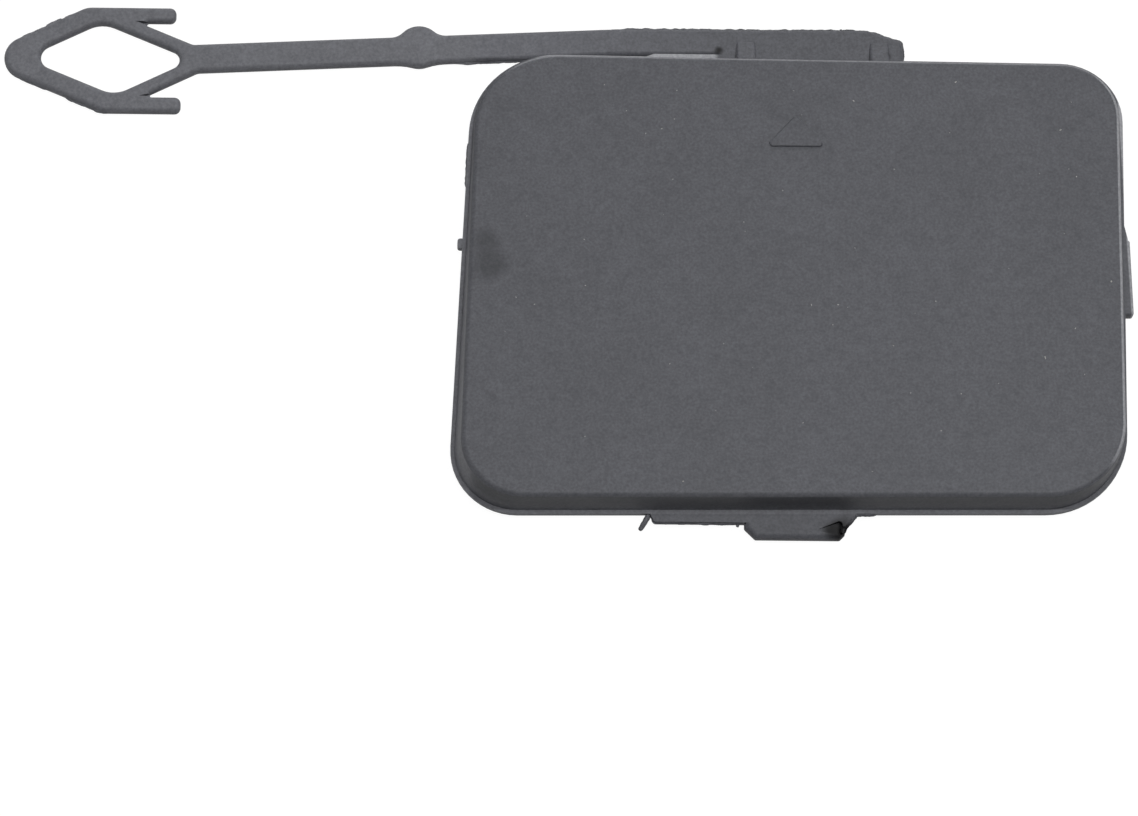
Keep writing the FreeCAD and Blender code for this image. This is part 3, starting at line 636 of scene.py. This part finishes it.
def shard_tree():
    """A rough, rounded cone on each point, leaning along the point's own vector."""
    tree, given = geometry_tree("torn shards", (
        ("Waver", "Float"), ("Tip", "Float"), ("Seed", "Float"), ("Material", "Material")))
    cone = add_node(tree, "GeometryNodeMeshCone", inputs={
        "Vertices": 7, "Side Segments": 4, "Radius Top": given["Tip"], "Radius Bottom": 0.5,
        "Depth": 1.0})
    lean = add_node(tree, "GeometryNodeInputNamedAttribute", {"data_type": "FLOAT_VECTOR"}, {
        "Name": "lean"})
    girth = add_node(tree, "GeometryNodeInputNamedAttribute", {"data_type": "FLOAT"}, {"Name": "girth"})
    length = add_node(tree, "ShaderNodeVectorMath", {"operation": "LENGTH"}, {0: lean.outputs[0]})
    turn = add_node(tree, "FunctionNodeAlignRotationToVector", {"axis": "Z"}, {"Vector": lean.outputs[0]})
    scale = add_node(tree, "ShaderNodeCombineXYZ", inputs={
        "X": girth.outputs[0], "Y": girth.outputs[0], "Z": length.outputs["Value"]})
    shards = add_node(tree, "GeometryNodeInstanceOnPoints", inputs={
        "Points": given["Geometry"], "Instance": cone.outputs[0], "Rotation": turn.outputs[0],
        "Scale": scale.outputs[0]})
    real = add_node(tree, "GeometryNodeRealizeInstances", inputs={0: shards.outputs[0]})
    smooth = add_node(tree, "GeometryNodeSubdivisionSurface", inputs={"Mesh": real.outputs[0], "Level": 1})
    noise = add_node(tree, "ShaderNodeTexNoise", {"noise_dimensions": "4D"}, {
        "W": given["Seed"], "Scale": 1 / (SHARD_WAVE * MM), "Detail": 2.0})
    centred = add_node(tree, "ShaderNodeVectorMath", {"operation": "SUBTRACT"}, {
        0: noise.outputs["Color"], 1: (0.5, 0.5, 0.5)})
    waver = add_node(tree, "ShaderNodeVectorMath", {"operation": "SCALE"}, {
        0: centred.outputs[0], "Scale": given["Waver"]})
    rough = add_node(tree, "GeometryNodeSetPosition", inputs={
        "Geometry": smooth.outputs[0], "Offset": waver.outputs[0]})
    return end_tree(tree, given, rough.outputs[0])


def speck_tree():
    """Flat specks strewn at random over a patch."""
    tree, given = geometry_tree("strewn specks", (
        ("Density", "Float"), ("Speck", "Float"), ("Seed", "Int"), ("Material", "Material")))
    strewn = add_node(tree, "GeometryNodeDistributePointsOnFaces", {"distribute_method": "RANDOM"}, {
        "Mesh": given["Geometry"], "Density": given["Density"], "Seed": given["Seed"]})
    speck = add_node(tree, "GeometryNodeMeshIcoSphere", inputs={"Radius": 1.0, "Subdivisions": 1})
    turn = add_node(tree, "FunctionNodeRandomValue", {"data_type": "FLOAT_VECTOR"}, {
        0: (0.0, 0.0, 0.0), 1: (0.0, 0.0, math.tau), "Seed": given["Seed"]})
    spread = add_node(tree, "FunctionNodeRandomValue", {"data_type": "FLOAT_VECTOR"}, {
        0: SPECK_LEAST, 1: SPECK_MOST, "Seed": given["Seed"]})
    scale = add_node(tree, "ShaderNodeVectorMath", {"operation": "SCALE"}, {
        0: spread.outputs[0], "Scale": given["Speck"]})
    specks = add_node(tree, "GeometryNodeInstanceOnPoints", inputs={
        "Points": strewn.outputs["Points"], "Instance": speck.outputs[0], "Rotation": turn.outputs[0],
        "Scale": scale.outputs[0]})
    return end_tree(tree, given, specks.outputs[0])


def ring_tree():
    """A raised ring on each point, level with the sloping wall behind the face."""
    tree, given = geometry_tree("pin rings", (
        ("Radius", "Float"), ("Bead", "Float"), ("Wall", "Vector"), ("Material", "Material")))
    circle = add_node(tree, "GeometryNodeCurvePrimitiveCircle", inputs={
        "Resolution": 40, "Radius": given["Radius"]})
    bead = add_node(tree, "GeometryNodeCurvePrimitiveCircle", inputs={
        "Resolution": 8, "Radius": given["Bead"]})
    ring = add_node(tree, "GeometryNodeCurveToMesh", inputs={
        "Curve": circle.outputs[0], "Profile Curve": bead.outputs[0]})
    turn = add_node(tree, "FunctionNodeAlignRotationToVector", {"axis": "Z"}, {"Vector": given["Wall"]})
    rings = add_node(tree, "GeometryNodeInstanceOnPoints", inputs={
        "Points": given["Geometry"], "Instance": ring.outputs[0], "Rotation": turn.outputs[0]})
    return end_tree(tree, given, rings.outputs[0])


class COVER_OT_plastic(bpy.types.Operator):
    """Give the moulding its grained polypropylene"""
    bl_idname = "cover.plastic"
    bl_label = "Moulded plastic"

    def execute(self, context):
        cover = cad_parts[NODE]
        cover.data.materials.clear()
        cover.data.materials.append(plastic_material())
        return {"FINISHED"}


class COVER_OT_flash(bpy.types.Operator):
    """Grow ragged flash along the parting edges"""
    bl_idname = "cover.flash"
    bl_label = "Mould flash"

    def execute(self, context):
        size = context.scene.cover_flash
        grow("mould_flash", flash_lines(), flash_tree(), {
            "Reach": size.reach, "Thickness": size.thickness, "Tooth": size.tooth,
            "Seed": float(size.seed), "Material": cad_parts[NODE].data.materials[0]})
        return {"FINISHED"}


class COVER_OT_nibs(bpy.types.Operator):
    """Set torn nibs where the flash was pulled off"""
    bl_idname = "cover.nibs"
    bl_label = "Torn nibs"

    def execute(self, context):
        feet, leans, girths = zip(*NIBS)
        mesh = point_mesh("nib_feet", feet, [
            ("lean", "FLOAT_VECTOR", [Vector(v) * MM for v in leans]),
            ("girth", "FLOAT", [g * MM for g in girths])])
        grow("torn_nibs", mesh, shard_tree(), {
            "Waver": NIB_WAVER * MM, "Tip": NIB_TIP, "Seed": float(context.scene.cover_flash.seed),
            "Material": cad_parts[NODE].data.materials[0]})
        return {"FINISHED"}


class COVER_OT_lint(bpy.types.Operator):
    """Strew lint over the face"""
    bl_idname = "cover.lint"
    bl_label = "Lint"

    def execute(self, context):
        size = context.scene.cover_lint
        lint = lint_material()
        x, y = CAP_HALF_WIDTH - LINT_MARGINS[0], CAP_HALF_HEIGHT - LINT_MARGINS[1]
        patch = bpy.data.meshes.new("lint_patch")
        corners = [(-x, -y), (x, -y), (x, y), (-x, y)]
        patch.from_pydata([Vector((u, v, face_height(v))) * MM for u, v in corners], [], [(0, 1, 2, 3)])
        grow("lint_specks", patch, speck_tree(), {
            "Density": size.density, "Speck": size.speck, "Seed": size.seed, "Material": lint})
        places, leans, girths = zip(*LINT_FLECKS)
        mesh = point_mesh("fleck_feet", [(u, v, face_height(v)) for u, v in places], [
            ("lean", "FLOAT_VECTOR", [Vector((u, v, 0.0)) * MM for u, v in leans]),
            ("girth", "FLOAT", [g * MM for g in girths])])
        grow("lint_flecks", mesh, shard_tree(), {
            "Waver": FLECK_WAVER * MM, "Tip": FLECK_TIP, "Seed": float(size.seed),
            "Material": lint})
        return {"FINISHED"}


class COVER_OT_back(bpy.types.Operator):
    """Mark the back with ejector pin rings and the gate's stub"""
    bl_idname = "cover.back"
    bl_label = "Mould marks"

    def execute(self, context):
        size = context.scene.cover_back
        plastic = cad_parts[NODE].data.materials[0]
        cells = []
        for i in range(RIB_COLUMNS):
            for k in range(RIB_ROWS):
                x = 2 * CAP_HALF_WIDTH * ((i + 0.5) / RIB_COLUMNS - 0.5)
                y = 2 * CAP_HALF_HEIGHT * ((k + 0.5) / RIB_ROWS - 0.5)
                cells.append((x, y, face_height(y) - FACE_WALL))
        rings = [c for c in cells if abs(c[1]) > PIN_CLEARANCE]
        grow("ejector_pin_rings", point_mesh("pin_places", rings, []), ring_tree(), {
            "Radius": size.pin / 2, "Bead": size.ring / 2, "Wall": (0.0, FACE_SLOPE, 1.0),
            "Material": plastic})
        # The gate is in the second cell from the left of the middle row
        gate_x, gate_y, gate_z = cells[RIB_ROWS + 1]
        mesh = point_mesh("gate_place", [(gate_x, gate_y, gate_z + GATE_SUNK)], [
            ("lean", "FLOAT_VECTOR", [(0.0, 0.0, -GATE_LENGTH * MM)]),
            ("girth", "FLOAT", [size.gate])])
        grow("gate_stub", mesh, shard_tree(), {
            "Waver": GATE_WAVER * MM, "Tip": GATE_TIP, "Seed": GATE_SEED, "Material": plastic})
        return {"FINISHED"}


def floor_material(colour):
    """Paper floor that photographs white and keeps the cover's shadow."""
    # Matte white paper: no sheen, and close to white for the camera and for reflections
    material = bpy.data.materials.new("matte_white_paper")
    material.use_nodes = True
    tree = material.node_tree
    tree.nodes.clear()
    paper = add_node(tree, "ShaderNodeBsdfDiffuse", inputs={"Color": tuple(colour), "Roughness": 0.5})
    glow = add_node(tree, "ShaderNodeEmission", inputs={
        "Color": (1, 1, 1, 1), "Strength": FLOOR_GLOW})
    rays = add_node(tree, "ShaderNodeLightPath").outputs
    seen = add_node(tree, "ShaderNodeMath", {"operation": "MAXIMUM"}, {
        0: rays["Is Camera Ray"], 1: rays["Is Transmission Ray"]})
    kept = add_node(tree, "ShaderNodeMath", {"operation": "MULTIPLY"}, {
        0: seen.outputs[0], 1: GLOW_SEEN})
    mirrored = add_node(tree, "ShaderNodeMath", {"operation": "MULTIPLY"}, {
        0: rays["Is Glossy Ray"], 1: GLOW_MIRRORED})
    share = add_node(tree, "ShaderNodeMath", {"operation": "MAXIMUM"}, {
        0: kept.outputs[0], 1: mirrored.outputs[0]})
    mix = add_node(tree, "ShaderNodeMixShader", inputs={
        0: share.outputs[0], 1: paper.outputs[0], 2: glow.outputs[0]})
    add_node(tree, "ShaderNodeOutputMaterial", inputs={"Surface": mix.outputs[0]})
    return material


def lamp(name, bearing, height, distance, width, depth, power):
    """Soft area lamp aimed at the cap."""
    data = bpy.data.lights.new(name, "AREA")
    data.shape = "RECTANGLE"
    data.size, data.size_y = width, depth
    data.energy = power
    made = bpy.data.objects.new(name, data)
    bpy.context.scene.collection.objects.link(made)
    b, h = math.radians(bearing), math.radians(height)
    outward = Vector((math.cos(h) * math.cos(b), math.cos(h) * math.sin(b), math.sin(h)))
    made.location = outward * distance
    made.rotation_euler = outward.to_track_quat("Z", "Y").to_euler()


class COVER_OT_stage(bpy.types.Operator):
    """Set up the floor, the lamps and the camera"""
    bl_idname = "cover.stage"
    bl_label = "Studio"

    def execute(self, context):
        size = context.scene.cover_stage
        mesh = bpy.data.meshes.new("floor")
        corners = [(-1, -1), (1, -1), (1, 1), (-1, 1)]
        mesh.from_pydata([(x * FLOOR_HALF, y * FLOOR_HALF, -FLOOR_GAP * MM) for x, y in corners],
                         [], [(0, 1, 2, 3)])
        mesh.materials.append(floor_material(size.floor_colour))
        floor = bpy.data.objects.new("floor", mesh)
        context.scene.collection.objects.link(floor)
        for *placing, power in LAMPS:
            lamp(*placing, power * size.level)

        # The surroundings give no light, and the camera sees them white
        world = bpy.data.worlds.new("studio")
        context.scene.world = world
        world.use_nodes = True
        tree = world.node_tree
        tree.nodes.clear()
        rays = add_node(tree, "ShaderNodeLightPath").outputs
        dark = add_node(tree, "ShaderNodeBackground", inputs={"Strength": 0.0})
        white = add_node(tree, "ShaderNodeBackground", inputs={"Color": (1, 1, 1, 1), "Strength": 1.0})
        mix = add_node(tree, "ShaderNodeMixShader", inputs={
            0: rays["Is Camera Ray"], 1: dark.outputs[0], 2: white.outputs[0]})
        add_node(tree, "ShaderNodeOutputWorld", inputs={"Surface": mix.outputs[0]})

        data = bpy.data.cameras.new("camera")
        data.lens = size.lens
        camera = bpy.data.objects.new("camera", data)
        context.scene.collection.objects.link(camera)
        camera.location = Vector(CAMERA_PLACE) * MM
        camera.rotation_euler = Euler([math.radians(v) for v in CAMERA_TURN])
        context.scene.camera = camera
        context.scene.view_settings.view_transform = "Standard"
        return {"FINISHED"}


GROUPS = (
    ("cover_plastic", CoverPlastic, ("cover.plastic",)),
    ("cover_flash", CoverFlash, ("cover.flash", "cover.nibs")),
    ("cover_lint", CoverLint, ("cover.lint",)),
    ("cover_back", CoverBack, ("cover.back",)),
    ("cover_stage", CoverStage, ("cover.stage",)),
)


class COVER_PT_panel(bpy.types.Panel):
    """The cover's settings and steps"""
    bl_idname = "COVER_PT_panel"
    bl_label = "Tow hook cover"
    bl_space_type = "VIEW_3D"
    bl_region_type = "UI"
    bl_category = "Cover"

    def draw(self, context):
        for name, group, steps in GROUPS:
            box = self.layout.box()
            for prop in group.__annotations__:
                box.prop(getattr(context.scene, name), prop)
            for step in steps:
                box.operator(step)


OPERATORS = (
    COVER_OT_plastic, COVER_OT_flash, COVER_OT_nibs, COVER_OT_lint, COVER_OT_back, COVER_OT_stage)


def register():
    for name, group, _ in GROUPS:
        bpy.utils.register_class(group)
        setattr(bpy.types.Scene, name, PointerProperty(type=group))
    for cls in (*OPERATORS, COVER_PT_panel):
        bpy.utils.register_class(cls)


def unregister():
    for cls in (COVER_PT_panel, *reversed(OPERATORS)):
        bpy.utils.unregister_class(cls)
    for name, group, _ in reversed(GROUPS):
        delattr(bpy.types.Scene, name)
        bpy.utils.unregister_class(group)


def main():
    register()
    bpy.ops.cover.plastic()
    bpy.ops.cover.flash()
    bpy.ops.cover.nibs()
    bpy.ops.cover.lint()
    bpy.ops.cover.back()
    bpy.ops.cover.stage()


if __name__ == "__main__":
    main()
